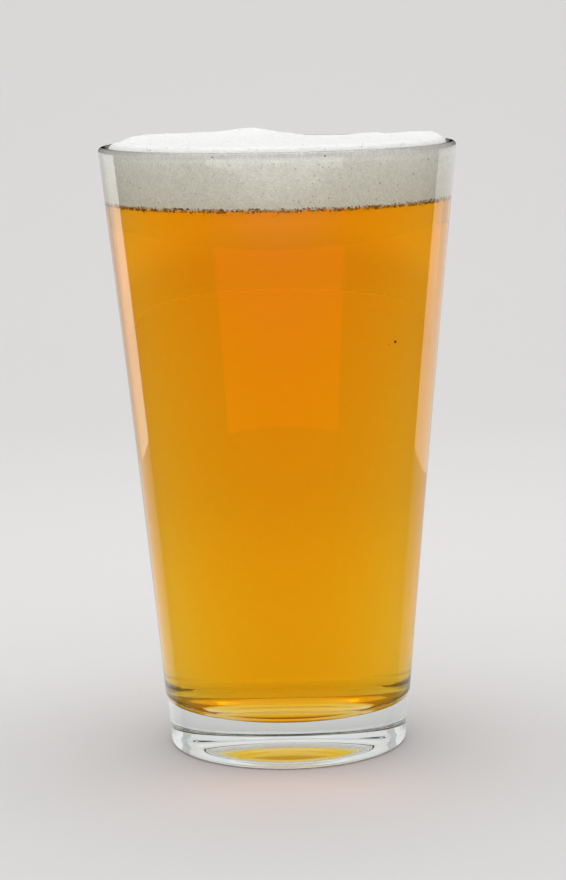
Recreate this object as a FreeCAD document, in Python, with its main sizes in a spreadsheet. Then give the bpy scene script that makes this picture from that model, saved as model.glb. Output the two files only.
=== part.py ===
"""A pint of beer: a tapered pint glass, the beer in it and the uneven foam head on top.

Millimetres, +Z up. The origin is on the glass's axis, on the surface the glass stands on.
The three pieces nest: the beer fills the glass from its floor to the beer level, and the
foam fills it from there to a lumpy dome that stands a little higher than the rim.

Every section is drawn in the XZ plane, where x is the radius, and turned about the Z axis.
"""
import FreeCAD, Part
import math
import os

import Sketcher

SIZES = {
    # the glass, outside
    "glass_height": (149.2, "rim above the standing surface, 5 7/8 in"),
    "rim_radius": (43.6, "outside radius at the rim, a little under 3 1/2 in across"),
    "wall_bow": (0.3, "how far the middle of the wall stands in from a straight taper"),
    "shoulder_radius": (30.8, "outside radius where the tapered wall starts, above the foot"),
    "shoulder_height": (13.0, "height of that line above the standing surface"),
    "ledge_width": (0.4, "how far the foot stands in under the wall"),
    "ledge_height": (1.0, "height of the slope between the wall and the foot"),
    "foot_radius": (29.4, "outside radius of the foot, just above its rounded heel"),
    "heel_radius": (1.0, "rounding between the foot's side and its underside"),
    "recess_radius": (16.2, "radius of the shallow hollow in the underside"),
    "recess_depth": (3.0, "depth of that hollow at the axis"),
    # the glass, inside
    "rim_wall": (2.4, "wall thickness at the rim, which is rounded over fully"),
    "lower_wall": (5.0, "wall thickness at the shoulder line"),
    "base_thickness": (11.6, "inside floor above the standing surface"),
    "floor_corner": (2.0, "rounding between the inside floor and the wall"),
    # what fills it
    "head_depth": (13.2, "how far below the rim the beer ends and the foam begins"),
    "foam_rise": (1.4, "how far the foam's plateau stands above the rim"),
    "foam_roll": (2.4, "rounding where the plateau turns down to the wall"),
}

# The foam's lumps and hollows: where each lies (degrees from +X, share of the inside
# radius), how far it stands out of the plateau and how wide it is, both in millimetres.
FOAM_LUMPS = [
    (103, 0.75, 1.2, 4.5),
    (124, 0.79, 0.3, 6.0),
    (77, 0.90, -1.2, 5.0),
    (64, 0.89, -1.0, 5.0),
    (61, 0.61, -0.7, 6.5),
    (150, 0.84, 0.6, 7.0),
    (39, 0.88, -0.9, 5.0),
    (14, 0.88, 0.5, 5.0),
    (172, 0.91, -0.7, 6.0),
    (262, 0.62, -0.5, 6.0),
    (302, 0.55, 0.4, 7.0),
]
FOAM_GRID = 24

ORIGIN_POINT = (-1, 1)
R_AXIS = -1
Z_AXIS = -2
START, END, CENTRE = 1, 2, 3

# Heights that several pieces share, as expressions of the sheet's cells.
RIM_START = "Sizes.glass_height - Sizes.rim_wall / 2"
BEER_LEVEL = "Sizes.glass_height - Sizes.head_depth"


def make_sheet(doc):
    """Writes each driving dimension to an aliased cell, with its meaning beside it."""
    sheet = doc.addObject("Spreadsheet::Sheet", "Sizes")
    for row, (alias, (value, meaning)) in enumerate(SIZES.items(), start=1):
        sheet.set(f"A{row}", alias)
        sheet.set(f"B{row}", str(value))
        sheet.setAlias(f"B{row}", alias)
        sheet.set(f"C{row}", meaning)
    doc.recompute()
    return sheet


def bowed_circle(low, high, bow):
    """Centre and radius of the circle through two section points that bows in by bow."""
    chord = math.dist(low, high)
    radius = (chord ** 2 / 4 + bow ** 2) / (2 * bow)
    along = ((high[0] - low[0]) / chord, (high[1] - low[1]) / chord)
    reach = radius - bow
    centre = ((low[0] + high[0]) / 2 + along[1] * reach, (low[1] + high[1]) / 2 - along[0] * reach)
    return centre, radius


def at_height(centre, radius, height):
    """The point at a height on the axis's side of a circle."""
    return (centre[0] - math.sqrt(radius ** 2 - (height - centre[1]) ** 2), height)


class Section:
    """The half-section of one body: drawn near its place, then held by constraints."""

    def __init__(self, doc, name):
        self.doc = doc
        self.body = doc.addObject("PartDesign::Body", name)
        self.sketch = self.body.newObject("Sketcher::SketchObject", name + "_section")
        plane = next(p for p in self.body.Origin.OriginFeatures if p.Role == "XZ_Plane")
        self.sketch.AttachmentSupport = (plane, [""])
        self.sketch.MapMode = "FlatFace"

    def value(self, expression):
        return float(self.sketch.evalExpression(expression))

    def line(self, start, end):
        segment = Part.LineSegment(FreeCAD.Vector(*start, 0), FreeCAD.Vector(*end, 0))
        return self.sketch.addGeometry(segment, False)

    def arc(self, centre, radius, start, end):
        """Adds the arc that runs anticlockwise about centre from start to end."""
        circle = Part.Circle(FreeCAD.Vector(*centre, 0), FreeCAD.Vector(0, 0, 1), radius)
        turn = [math.atan2(point[1] - centre[1], point[0] - centre[0]) for point in (start, end)]
        if turn[1] < turn[0]:
            turn[1] += 2 * math.pi
        return self.sketch.addGeometry(Part.ArcOfCircle(circle, *turn), False)

    def guide(self, place):
        """Adds a point that only helps to hold the section."""
        return self.sketch.addGeometry(Part.Point(FreeCAD.Vector(*place, 0)), True)

    def hold(self, kind, *where):
        """Adds a constraint that needs no size, such as Tangent or Horizontal."""
        self.sketch.addConstraint(Sketcher.Constraint(kind, *where))

    def size(self, name, kind, where, expression):
        """Adds a constraint whose value follows an expression of the sheet's cells."""
        index = self.sketch.addConstraint(Sketcher.Constraint(kind, *where, self.value(expression)))
        self.sketch.renameConstraint(index, name)
        self.sketch.setExpression("Constraints." + name, expression)

    def out(self, name, point, expression):
        """Sets a point's distance from the axis."""
        self.size(name, "DistanceX", (*ORIGIN_POINT, *point), expression)

    def up(self, name, point, expression):
        """Sets a point's height above the standing surface."""
        self.size(name, "DistanceY", (*ORIGIN_POINT, *point), expression)

    def wall_face(self, name, low_radius, high_radius, bottom, top):
        """Adds one face of the bowed wall, from the height top down to the height bottom.

        low_radius and high_radius are expressions for its radius at the shoulder and where
        the rim's rounding starts. Its circle is held by a guide point at each of the two.
        """
        low = (self.value(low_radius), self.value("Sizes.shoulder_height"))
        high = (self.value(high_radius), self.value(RIM_START))
        circle = bowed_circle(low, high, self.value("Sizes.wall_bow"))
        face = self.arc(*circle, at_height(*circle, top), at_height(*circle, bottom))
        guides = (("low", low, low_radius, "Sizes.shoulder_height"), ("high", high, high_radius, RIM_START))
        for end, place, radius, height in guides:
            guide = self.guide(place)
            self.out(f"{name}_{end}_radius", (guide, START), radius)
            self.up(f"{name}_{end}_height", (guide, START), height)
            self.hold("PointOnObject", guide, START, face)
        chord = f"(pow({high_radius} - ({low_radius}); 2) + pow({RIM_START} - Sizes.shoulder_height; 2))"
        curve = f"({chord} / 4 + pow(Sizes.wall_bow; 2)) / (2 * Sizes.wall_bow)"
        self.size(name + "_curve", "Radius", (face,), curve)
        return face

    def inner_wall(self, bottom, top):
        """Adds the inside face of the glass's wall between two heights."""
        low_radius = "Sizes.shoulder_radius - Sizes.lower_wall"
        high_radius = "Sizes.rim_radius - Sizes.rim_wall"
        return self.wall_face("inner", low_radius, high_radius, bottom, top)

    def floor(self, wall):
        """Adds the inside floor and its rounded corner up to the wall's low end."""
        corner = self.value("Sizes.floor_corner")
        floor_height = self.value("Sizes.base_thickness")
        low = self.sketch.Geometry[wall].EndPoint
        centre = (low.x - corner, floor_height + corner)
        bend = self.arc(centre, corner, (centre[0], floor_height), (low.x, centre[1]))
        flat = self.line((0, floor_height), (centre[0], floor_height))
        self.hold("Tangent", wall, END, bend, END)
        self.hold("Tangent", bend, START, flat, END)
        self.hold("Horizontal", flat)
        self.hold("PointOnObject", flat, START, Z_AXIS)
        self.up("floor_height", (flat, START), "Sizes.base_thickness")
        self.size("corner_radius", "Radius", (bend,), "Sizes.floor_corner")
        return flat

    def revolve(self):
        """Checks that the section is fully held and turns it about the Z axis."""
        self.doc.recompute()
        if not self.sketch.FullyConstrained:
            raise RuntimeError(f"{self.sketch.Name} isn't fully constrained")
        turn = self.body.newObject("PartDesign::Revolution", self.body.Name + "_turn")
        turn.Profile = self.sketch
        turn.ReferenceAxis = (self.sketch, ["V_Axis"])
        turn.Angle = 360
        self.body.Placement = FreeCAD.Placement()
        self.doc.recompute()
        return self.body


def make_glass(doc):
    """The glass: a thick foot with a shallow hollow under it, a bowed wall and a round rim."""
    section = Section(doc, "glass")
    size = {name: section.value("Sizes." + name) for name in SIZES}
    rim_start = section.value(RIM_START)
    bead = size["rim_wall"] / 2
    heel = size["heel_radius"]
    foot = size["foot_radius"]
    shoulder = (size["shoulder_radius"], size["shoulder_height"])

    outer = section.wall_face("outer", "Sizes.shoulder_radius", "Sizes.rim_radius", shoulder[1], rim_start)
    section.up("shoulder_height", (outer, END), "Sizes.shoulder_height")

    inner = section.inner_wall(size["base_thickness"] + size["floor_corner"], rim_start)
    floor = section.floor(inner)

    rim_centre = (size["rim_radius"] - bead, rim_start)
    rim = section.arc(rim_centre, bead, (size["rim_radius"], rim_start), (rim_centre[0] - bead, rim_start))
    section.hold("Tangent", rim, START, outer, START)
    section.hold("Tangent", rim, END, inner, START)
    crest = section.guide((rim_centre[0], size["glass_height"]))
    section.hold("PointOnObject", crest, START, rim)
    section.hold("Vertical", crest, START, rim, CENTRE)
    section.up("glass_height", (crest, START), "Sizes.glass_height")

    foot_top = (shoulder[0] - size["ledge_width"], shoulder[1] - size["ledge_height"])
    ledge = section.line(shoulder, foot_top)
    section.hold("Coincident", ledge, START, outer, END)
    section.out("foot_top_radius", (ledge, END), "Sizes.shoulder_radius - Sizes.ledge_width")
    section.up("foot_top_height", (ledge, END), "Sizes.shoulder_height - Sizes.ledge_height")
    side = section.line(foot_top, (foot, heel))
    section.hold("Coincident", side, START, ledge, END)
    section.out("foot_radius", (side, END), "Sizes.foot_radius")
    rounding = section.arc((foot - heel, heel), heel, (foot - heel, 0), (foot, heel))
    section.hold("Tangent", side, END, rounding, END)
    section.size("heel_radius", "Radius", (rounding,), "Sizes.heel_radius")

    ring = section.line((foot - heel, 0), (size["recess_radius"], 0))
    section.hold("Tangent", rounding, START, ring, START)
    section.hold("Horizontal", ring)
    section.hold("PointOnObject", ring, END, R_AXIS)
    section.out("recess_radius", (ring, END), "Sizes.recess_radius")

    depth = size["recess_depth"]
    dome_radius = (size["recess_radius"] ** 2 + depth ** 2) / (2 * depth)
    dome_centre = (0, depth - dome_radius)
    dome = section.arc(dome_centre, dome_radius, (size["recess_radius"], 0), (0, depth))
    section.hold("Coincident", dome, START, ring, END)
    section.hold("PointOnObject", dome, CENTRE, Z_AXIS)
    section.hold("PointOnObject", dome, END, Z_AXIS)
    section.up("recess_depth", (dome, END), "Sizes.recess_depth")

    middle = section.line((0, depth), (0, size["base_thickness"]))
    section.hold("Coincident", middle, START, dome, END)
    section.hold("Coincident", middle, END, floor, START)
    return section.revolve()


def make_beer(doc):
    """The beer: the space inside the glass from its floor up to the beer level."""
    section = Section(doc, "beer")
    level = section.value(BEER_LEVEL)
    bottom = section.value("Sizes.base_thickness")
    wall = section.inner_wall(bottom + section.value("Sizes.floor_corner"), level)
    floor = section.floor(wall)
    top = section.line((0, level), (section.sketch.Geometry[wall].StartPoint.x, level))
    section.hold("Coincident", top, END, wall, START)
    section.hold("Horizontal", top)
    section.hold("PointOnObject", top, START, Z_AXIS)
    section.up("beer_level", (top, START), BEER_LEVEL)
    middle = section.line((0, bottom), (0, level))
    section.hold("Coincident", middle, START, floor, START)
    section.hold("Coincident", middle, END, top, START)
    return section.revolve()


def make_foam_filling(doc):
    """The space that the foam can fill: the glass's inside carried up past the foam's dome."""
    section = Section(doc, "foam_filling")
    level = section.value(BEER_LEVEL)
    clear = "Sizes.glass_height + Sizes.foam_rise + 2 * Sizes.foam_roll"
    wall = section.inner_wall(level, section.value(clear))
    high = section.sketch.Geometry[wall].StartPoint
    low = section.sketch.Geometry[wall].EndPoint
    section.up("clear_height", (wall, START), clear)
    section.up("beer_level", (wall, END), BEER_LEVEL)
    corners = [(low.x, low.y), (0, low.y), (0, high.y), (high.x, high.y)]
    bottom, middle, top = [section.line(a, b) for a, b in zip(corners, corners[1:])]
    section.hold("Coincident", wall, END, bottom, START)
    section.hold("Coincident", bottom, END, middle, START)
    section.hold("Coincident", middle, END, top, START)
    section.hold("Coincident", top, END, wall, START)
    section.hold("Horizontal", bottom)
    section.hold("Horizontal", top)
    section.hold("PointOnObject", middle, START, Z_AXIS)
    section.hold("PointOnObject", middle, END, Z_AXIS)
    return section.revolve()


def foam_height(sheet, x, y):
    """Height of the foam's top over a point, before its border is rolled down to the wall."""
    inside = sheet.rim_radius - sheet.rim_wall
    height = sheet.glass_height + sheet.foam_rise
    for angle, reach, rise, width in FOAM_LUMPS:
        lump_x = inside * reach * math.cos(math.radians(angle))
        lump_y = inside * reach * math.sin(math.radians(angle))
        height += rise * math.exp(-((x - lump_x) ** 2 + (y - lump_y) ** 2) / (2 * width ** 2))
    return height


def make_foam_cover(doc, sheet):
    """A block wider than the glass, from well below the beer level to the foam's lumpy top."""
    half = sheet.rim_radius + sheet.foam_roll
    steps = [half * (2 * i / (FOAM_GRID - 1) - 1) for i in range(FOAM_GRID)]
    top = Part.BSplineSurface()
    top.interpolate([[FreeCAD.Vector(x, y, foam_height(sheet, x, y)) for y in steps] for x in steps])
    cover = doc.addObject("Part::Feature", "foam_cover")
    depth = 2 * (sheet.head_depth + sheet.foam_rise)
    cover.Shape = top.toShape().extrude(FreeCAD.Vector(0, 0, -depth))
    cover.Placement = FreeCAD.Placement()
    return cover


def make_foam(doc, sheet):
    """The foam head: its filling cut to the lumpy top, with the top's border rolled down."""
    trimmed = doc.addObject("Part::Common", "foam_trimmed")
    trimmed.Base = make_foam_filling(doc)
    trimmed.Tool = make_foam_cover(doc, sheet)
    doc.recompute()
    foam = doc.addObject("Part::Fillet", "foam")
    foam.Base = trimmed
    border = [
        index
        for index, edge in enumerate(trimmed.Shape.Edges, start=1)
        if edge.BoundBox.ZMin > sheet.glass_height - sheet.foam_roll and edge.BoundBox.XLength > 0
    ]
    foam.Edges = [(index, sheet.foam_roll, sheet.foam_roll) for index in border]
    foam.Placement = FreeCAD.Placement()
    return foam


def check(doc, pieces):
    """Stops the run if any object failed or any piece isn't one sound solid."""
    for item in doc.Objects:
        if {"Invalid", "Error"} & set(item.State):
            raise RuntimeError(f"{item.Name}: {item.State}")
    for piece in pieces:
        shape = piece.Shape
        if shape.isNull() or not shape.isValid() or len(shape.Solids) != 1:
            raise RuntimeError(f"{piece.Name} isn't one sound solid")
        print(f"{piece.Label}: {shape.Volume / 1000:.1f} ml")


def main():
    doc = FreeCAD.newDocument("pint_of_beer")
    sheet = make_sheet(doc)
    pieces = [make_glass(doc), make_beer(doc), make_foam(doc, sheet)]
    doc.recompute()
    check(doc, pieces)
    os.makedirs("parts", exist_ok=True)
    for piece in pieces:
        piece.Shape.exportStep(os.path.join("parts", piece.Label + ".step"))


main()
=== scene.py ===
# %% [markdown]
# # A pint of beer
#
# A tapered pint glass stands on a pale table, full of clear golden beer, with a white
# foam head that rises just over the rim. Three things give it its looks: clear glass
# with a thick foot, a clear liquid that colours light the further it passes through
# it, and a foam of fine bubbles that lets no light straight through. Each gets its own
# cells below.
#
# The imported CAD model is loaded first. It fixes every size: the new pieces are built
# inside it and stand for its three solids. Heights and outer radii are read from the
# boxes of its solids. The sizes inside a solid, such as a wall's thickness, can't be
# read from a box, so they are written here once, with the CAD model's values.

# %% Load the frame and measure it
import math

import bmesh
import bpy
import numpy as np
from mathutils import Matrix, Vector, noise


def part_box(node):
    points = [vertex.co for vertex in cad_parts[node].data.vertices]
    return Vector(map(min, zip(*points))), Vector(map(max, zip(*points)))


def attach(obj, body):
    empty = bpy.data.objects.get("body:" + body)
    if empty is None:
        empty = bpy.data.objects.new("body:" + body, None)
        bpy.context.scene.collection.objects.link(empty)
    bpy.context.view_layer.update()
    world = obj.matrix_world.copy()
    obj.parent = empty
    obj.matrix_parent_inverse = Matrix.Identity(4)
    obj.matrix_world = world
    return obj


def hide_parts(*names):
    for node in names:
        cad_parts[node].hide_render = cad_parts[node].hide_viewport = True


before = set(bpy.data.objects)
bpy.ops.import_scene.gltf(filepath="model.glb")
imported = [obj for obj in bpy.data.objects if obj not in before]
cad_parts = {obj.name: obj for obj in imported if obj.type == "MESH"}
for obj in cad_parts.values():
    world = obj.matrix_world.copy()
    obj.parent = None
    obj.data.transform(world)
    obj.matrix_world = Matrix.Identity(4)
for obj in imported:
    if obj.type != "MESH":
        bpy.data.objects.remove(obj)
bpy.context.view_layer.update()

MM = 0.001

glass_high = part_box("glass")[1]
beer_low, beer_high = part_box("beer")
foam_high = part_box("foam")[1]

# The glass, outside: from the rim down to the hollow in its underside.
GLASS_HEIGHT = glass_high.z
RIM_RADIUS = glass_high.x
SHOULDER_RADIUS = 30.8 * MM
SHOULDER_HEIGHT = 13.0 * MM
LEDGE_WIDTH = 0.4 * MM
LEDGE_HEIGHT = 1.0 * MM
FOOT_RADIUS = 29.4 * MM
HEEL_RADIUS = 1.0 * MM
RECESS_RADIUS = 16.2 * MM
RECESS_DEPTH = 3.0 * MM
# The glass, inside, and how far it is filled.
RIM_WALL = 2.4 * MM
LOWER_WALL = 5.0 * MM
FLOOR_HEIGHT = beer_low.z
FLOOR_CORNER = 2.0 * MM
WALL_BOW = 0.3 * MM
BEER_LEVEL = beer_high.z
print(f"glass {GLASS_HEIGHT / MM:.1f} mm high, {2 * RIM_RADIUS / MM:.1f} mm across the rim")
print(f"beer from {FLOOR_HEIGHT / MM:.1f} to {BEER_LEVEL / MM:.1f} mm, foam up to {foam_high.z / MM:.1f} mm")

# %% [markdown]
# ## Small helpers
#
# Colours are written as sRGB hex values, the way a paint program shows them, and one
# function turns them to the linear values that Blender's shaders work in. Another adds
# a node to a tree, sets its inputs and links it, so that each material and each
# Geometry Nodes tree below reads as a short list. The last one puts a mesh into the
# scene at the origin, where every piece of this object stays.

# %% Helpers for colours, nodes and meshes
def linear(hex_colour):
    """An sRGB hex colour such as "#d98c1a" as linear red, green, blue and alpha."""
    shares = [int(hex_colour[i:i + 2], 16) / 255 for i in (1, 3, 5)]
    return [s / 12.92 if s <= 0.04045 else ((s + 0.055) / 1.055) ** 2.4 for s in shares] + [1.0]


def add(tree, kind, settings=None, **inputs):
    """Adds a node. settings are its properties; inputs are values or sockets to link.

    An input's name is written with underscores for spaces, and _0, _1 and so on give an
    input by its place.
    """
    node = tree.nodes.new(kind)
    for name, value in (settings or {}).items():
        setattr(node, name, value)
    for name, value in inputs.items():
        key = int(name[1:]) if name[0] == "_" else name.replace("_", " ")
        socket = node.inputs[key]
        if isinstance(value, bpy.types.NodeSocket):
            tree.links.new(value, socket)
        else:
            socket.default_value = value
    return node


def new_material(name):
    """An empty node material, and its tree with an output node."""
    material = bpy.data.materials.new(name)
    material.use_nodes = True
    tree = material.node_tree
    tree.nodes.clear()
    return material, tree, tree.nodes.new("ShaderNodeOutputMaterial")


def put_in_scene(mesh, material):
    """A smooth-shaded object at the origin that holds a mesh and is named after it."""
    mesh.polygons.foreach_set("use_smooth", [True] * len(mesh.polygons))
    mesh.materials.append(material)
    piece = bpy.data.objects.new(mesh.name, mesh)
    bpy.context.collection.objects.link(piece)
    return piece


print(f"#808080 is {linear('#808080')[0]:.3f} in linear light")

# %% [markdown]
# ## Clear glass
#
# The glass is pressed soda-lime glass with a fire-polished surface. It has no colour of
# its own to speak of: what the eye sees is the bending of light (IOR 1.52), sharp
# reflections, and a faint blue-green where light runs a long way through the foot.
# So its surface is smooth and its tint comes from volume absorption, not from the
# surface colour.
#
# Where beer wets the inside of the wall, glass and beer bend light almost alike, and
# the real face hardly shines. A renderer sees a plain glass-to-air face there. Instead
# of a third, shared surface, a mask on height and radius finds the wetted face and
# cuts its reflection down to a tenth.

# %% Soda-lime glass
WETTED_SHINE = 0.1


def make_glass_material():
    """Pressed glass: perfectly smooth, clear, faintly blue-green in the depth of its foot."""
    material, tree, output = new_material("soda_lime_glass")
    place = add(tree, "ShaderNodeTexCoord").outputs["Object"]
    part = add(tree, "ShaderNodeSeparateXYZ", None, Vector=place).outputs
    level = add(
        tree, "ShaderNodeVectorMath", {"operation": "MULTIPLY"}, _0=place, _1=(1.0, 1.0, 0.0),
    ).outputs[0]
    radius = add(tree, "ShaderNodeVectorMath", {"operation": "LENGTH"}, _0=level).outputs["Value"]
    mid_wall = add(
        tree, "ShaderNodeMapRange", {"clamp": False},
        Value=part["Z"], From_Min=SHOULDER_HEIGHT, From_Max=GLASS_HEIGHT,
        To_Min=SHOULDER_RADIUS - LOWER_WALL / 2, To_Max=RIM_RADIUS - RIM_WALL / 2,
    ).outputs["Result"]
    inner = add(
        tree, "ShaderNodeMath", {"operation": "LESS_THAN"}, _0=radius, _1=mid_wall,
    ).outputs[0]
    above = add(
        tree, "ShaderNodeMath", {"operation": "GREATER_THAN"}, _0=part["Z"], _1=FLOOR_HEIGHT - 1 * MM,
    ).outputs[0]
    below = add(
        tree, "ShaderNodeMath", {"operation": "LESS_THAN"}, _0=part["Z"], _1=GLASS_HEIGHT - 2 * MM,
    ).outputs[0]
    inside = add(tree, "ShaderNodeMath", {"operation": "MULTIPLY"}, _0=inner, _1=above).outputs[0]
    wetted = add(tree, "ShaderNodeMath", {"operation": "MULTIPLY"}, _0=inside, _1=below).outputs[0]
    shine = add(
        tree, "ShaderNodeMix", {"data_type": "RGBA"},
        Factor=wetted, _6=linear("#ffffff"), _7=[WETTED_SHINE] * 3 + [1.0],
    ).outputs[2]
    shader = add(
        tree, "ShaderNodeBsdfPrincipled", None,
        Base_Color=linear("#ffffff"), Roughness=0.0, IOR=1.52, Transmission_Weight=1.0,
        Specular_Tint=shine,
    )
    tint = add(tree, "ShaderNodeVolumeAbsorption", None, Color=linear("#cfe6e2"), Density=5.0)
    tree.links.new(shader.outputs[0], output.inputs["Surface"])
    tree.links.new(tint.outputs[0], output.inputs["Volume"])
    return material


glass_material = make_glass_material()
print(f"{glass_material.name}: IOR 1.52, wetted face at {WETTED_SHINE:.0%} of its shine")

# %% [markdown]
# ## Beer
#
# A filtered golden ale or lager is as clear as the glass. Its colour comes from depth:
# blue light is gone within millimetres, green fades over centimetres and red passes
# almost freely, which is why the thick middle is a deeper orange than the narrow
# bottom. Volume absorption does exactly that, and the surface colour stays white.
#
# The beer's own face lies just inside the glass, where nothing reflects in a real
# glass of beer, so its reflection is turned off with a black specular tint. The
# absorption colour is written in linear shares, because it says how much of each
# colour gets through a length of beer, and isn't a colour that anyone sees.

# %% Filtered golden beer
PASSING_SHARES = (1.0, 0.86, 0.0, 1.0)
BEER_ABSORPTION = 110.0


def make_beer_material():
    """Clear golden beer, coloured only by how much of it the light passes through."""
    material, tree, output = new_material("golden_beer")
    shader = add(
        tree, "ShaderNodeBsdfPrincipled", None,
        Base_Color=linear("#ffffff"), Roughness=0.0, IOR=1.34, Transmission_Weight=1.0,
        Specular_Tint=linear("#000000"),
    )
    depth = add(tree, "ShaderNodeVolumeAbsorption", None, Color=PASSING_SHARES, Density=BEER_ABSORPTION)
    tree.links.new(shader.outputs[0], output.inputs["Surface"])
    tree.links.new(depth.outputs[0], output.inputs["Volume"])
    return material


beer_material = make_beer_material()
print(f"{beer_material.name}: IOR 1.34, absorption density {BEER_ABSORPTION:.0f} per metre")

# %% [markdown]
# ## Foam
#
# A beer's head is millions of bubbles from a tenth of a millimetre up. Light scatters
# in it like in snow, so it's a matt white, and where it is wet, low down against the
# glass, it is creamier. A volume of scattering bubbles would be true to life and very
# slow. A matt surface with a Voronoi pattern at the bubbles' size looks the same from
# outside: dark lines for the films between bubbles, a shade for each bubble and a
# small dent at each film.

# %% Beer foam
# Most real bubbles here are 0.1 to 0.3 mm across. These are drawn at 0.45 mm, so that
# they show at the distance from which the whole glass is seen.
BUBBLE_PITCH = 0.45 * MM
PATCH_SIZE = 2.5 * MM
# The dry top stands in much more light than the wall, so a painted shade takes a share of
# its whiteness away and its lumps still show.
TOP_PAINTED_SHADE = 0.86


def make_foam_material():
    """Beer foam: matt, creamy low down where it is wet and white on its dry top, which carries a painted
    shade against its strong light.
    """
    material, tree, output = new_material("beer_foam")
    place = add(tree, "ShaderNodeTexCoord").outputs["Object"]
    height = add(tree, "ShaderNodeSeparateXYZ", None, Vector=place).outputs["Z"]
    wetness = add(
        tree, "ShaderNodeMapRange", None,
        Value=height, From_Min=BEER_LEVEL, From_Max=GLASS_HEIGHT + 0.5 * MM,
    ).outputs["Result"]
    ramp = add(tree, "ShaderNodeValToRGB", None, Fac=wetness)
    ramp.color_ramp.elements[0].color = linear("#f6efd9")
    ramp.color_ramp.elements[1].color = linear("#fdfdfc")
    for position, colour in ((0.2, "#faf6e4"), (0.75, "#fbf8ea"), (0.92, "#fbfaf4")):
        ramp.color_ramp.elements.new(position).color = linear(colour)
    bubbles = add(tree, "ShaderNodeTexVoronoi", {"feature": "F1"}, Vector=place, Scale=1 / BUBBLE_PITCH)
    films = add(
        tree, "ShaderNodeTexVoronoi", {"feature": "DISTANCE_TO_EDGE"}, Vector=place, Scale=1 / BUBBLE_PITCH,
    )
    edge = add(
        tree, "ShaderNodeMapRange", None,
        Value=films.outputs["Distance"], From_Min=0.0, From_Max=0.14, To_Min=0.86, To_Max=1.0,
    ).outputs["Result"]
    patches = add(tree, "ShaderNodeTexNoise", None, Vector=place, Scale=1 / PATCH_SIZE, Detail=2.0)
    shade = add(
        tree, "ShaderNodeMapRange", None,
        Value=patches.outputs[0], From_Min=0.3, From_Max=0.7, To_Min=0.96, To_Max=1.0,
    ).outputs["Result"]
    cell = add(
        tree, "ShaderNodeMapRange", None,
        Value=add(tree, "ShaderNodeSeparateXYZ", None, Vector=bubbles.outputs["Color"]).outputs["X"],
        To_Min=0.95, To_Max=1.08,
    ).outputs["Result"]
    mottle = add(tree, "ShaderNodeMath", {"operation": "MULTIPLY"}, _0=edge, _1=shade).outputs[0]
    wall_dimming = add(tree, "ShaderNodeMath", {"operation": "MULTIPLY"}, _0=mottle, _1=cell).outputs[0]
    # Painted shade on the top, which offsets the strong light that falls on it.
    top_painted_shade = add(
        tree, "ShaderNodeMath", {"operation": "MULTIPLY"}, _0=mottle, _1=TOP_PAINTED_SHADE,
    ).outputs[0]
    painted_top_shade_mask = add(
        tree, "ShaderNodeMapRange", None,
        Value=height, From_Min=GLASS_HEIGHT - 2 * MM, From_Max=GLASS_HEIGHT + 0.3 * MM,
    ).outputs["Result"]
    dimming = add(
        tree, "ShaderNodeMix", {"data_type": "FLOAT"}, Factor=painted_top_shade_mask, _2=wall_dimming, _3=top_painted_shade,
    ).outputs[0]
    colour = add(
        tree, "ShaderNodeVectorMath", {"operation": "SCALE"}, _0=ramp.outputs["Color"], Scale=dimming,
    ).outputs[0]
    bump = add(
        tree, "ShaderNodeBump", {"invert": True},
        Strength=0.6, Distance=0.15 * MM, Height=bubbles.outputs["Distance"],
    )
    shader = add(
        tree, "ShaderNodeBsdfPrincipled", None,
        Base_Color=colour, Roughness=0.55, IOR=1.33, Normal=bump.outputs["Normal"],
    )
    tree.links.new(shader.outputs[0], output.inputs["Surface"])
    return material


foam_material = make_foam_material()
print(f"{foam_material.name}: bubbles {BUBBLE_PITCH / MM:.2f} mm apart, patches of {PATCH_SIZE / MM:.1f} mm")

# %% [markdown]
# ## Turning a section
#
# The glass and the beer are turned shapes: a half-section drawn once and carried round
# the axis. The Screw modifier could do it, but a Geometry Nodes tree keeps the material
# and the merging in one place. It takes the section as a line of edges, sweeps it round
# a small circle and merges what meets on the axis. Its inputs are the number of steps
# round, the radius of that circle and the material.

# %% The turning tree
HUB_RADIUS = 1 * MM
MERGE_DISTANCE = 0.002 * MM


def make_turning_tree():
    """A tree that turns a section about an axis into a closed solid."""
    tree = bpy.data.node_groups.new("turned_section", "GeometryNodeTree")
    face = tree.interface
    face.new_socket("Section", in_out="INPUT", socket_type="NodeSocketGeometry")
    face.new_socket("Steps round", in_out="INPUT", socket_type="NodeSocketInt")
    face.new_socket("Hub radius", in_out="INPUT", socket_type="NodeSocketFloat")
    face.new_socket("Material", in_out="INPUT", socket_type="NodeSocketMaterial")
    face.new_socket("Solid", in_out="OUTPUT", socket_type="NodeSocketGeometry")
    source = tree.nodes.new("NodeGroupInput").outputs
    section = add(tree, "GeometryNodeMeshToCurve", None, Mesh=source["Section"])
    circle = add(
        tree, "GeometryNodeCurvePrimitiveCircle", None,
        Resolution=source["Steps round"], Radius=source["Hub radius"],
    )
    turned = add(
        tree, "GeometryNodeCurveToMesh", None,
        Curve=circle.outputs["Curve"], Profile_Curve=section.outputs["Curve"],
    )
    merged = add(
        tree, "GeometryNodeMergeByDistance", None, Geometry=turned.outputs["Mesh"], Distance=MERGE_DISTANCE,
    )
    smooth = add(tree, "GeometryNodeSetShadeSmooth", None, Geometry=merged.outputs["Geometry"])
    whole = add(tree, "GeometryNodeRealizeInstances", None, Geometry=smooth.outputs["Geometry"])
    finish = add(
        tree, "GeometryNodeSetMaterial", None,
        Geometry=whole.outputs["Geometry"], Material=source["Material"],
    )
    add(tree, "NodeGroupOutput", None, Solid=finish.outputs["Geometry"])
    return tree


turning_tree = make_turning_tree()
print(f"{turning_tree.name}: {len(turning_tree.nodes)} nodes")

# %% [markdown]
# ## From a tree to a plain mesh
#
# A tree runs as a modifier, but a finished piece is a plain mesh, so that it looks the
# same wherever it is opened. So a tree is put on a throwaway object, the result is
# copied out, and the throwaway object is deleted. The volume is measured on the way:
# a negative one would mean faces that point inwards, and open edges would mean a leak.

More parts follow.
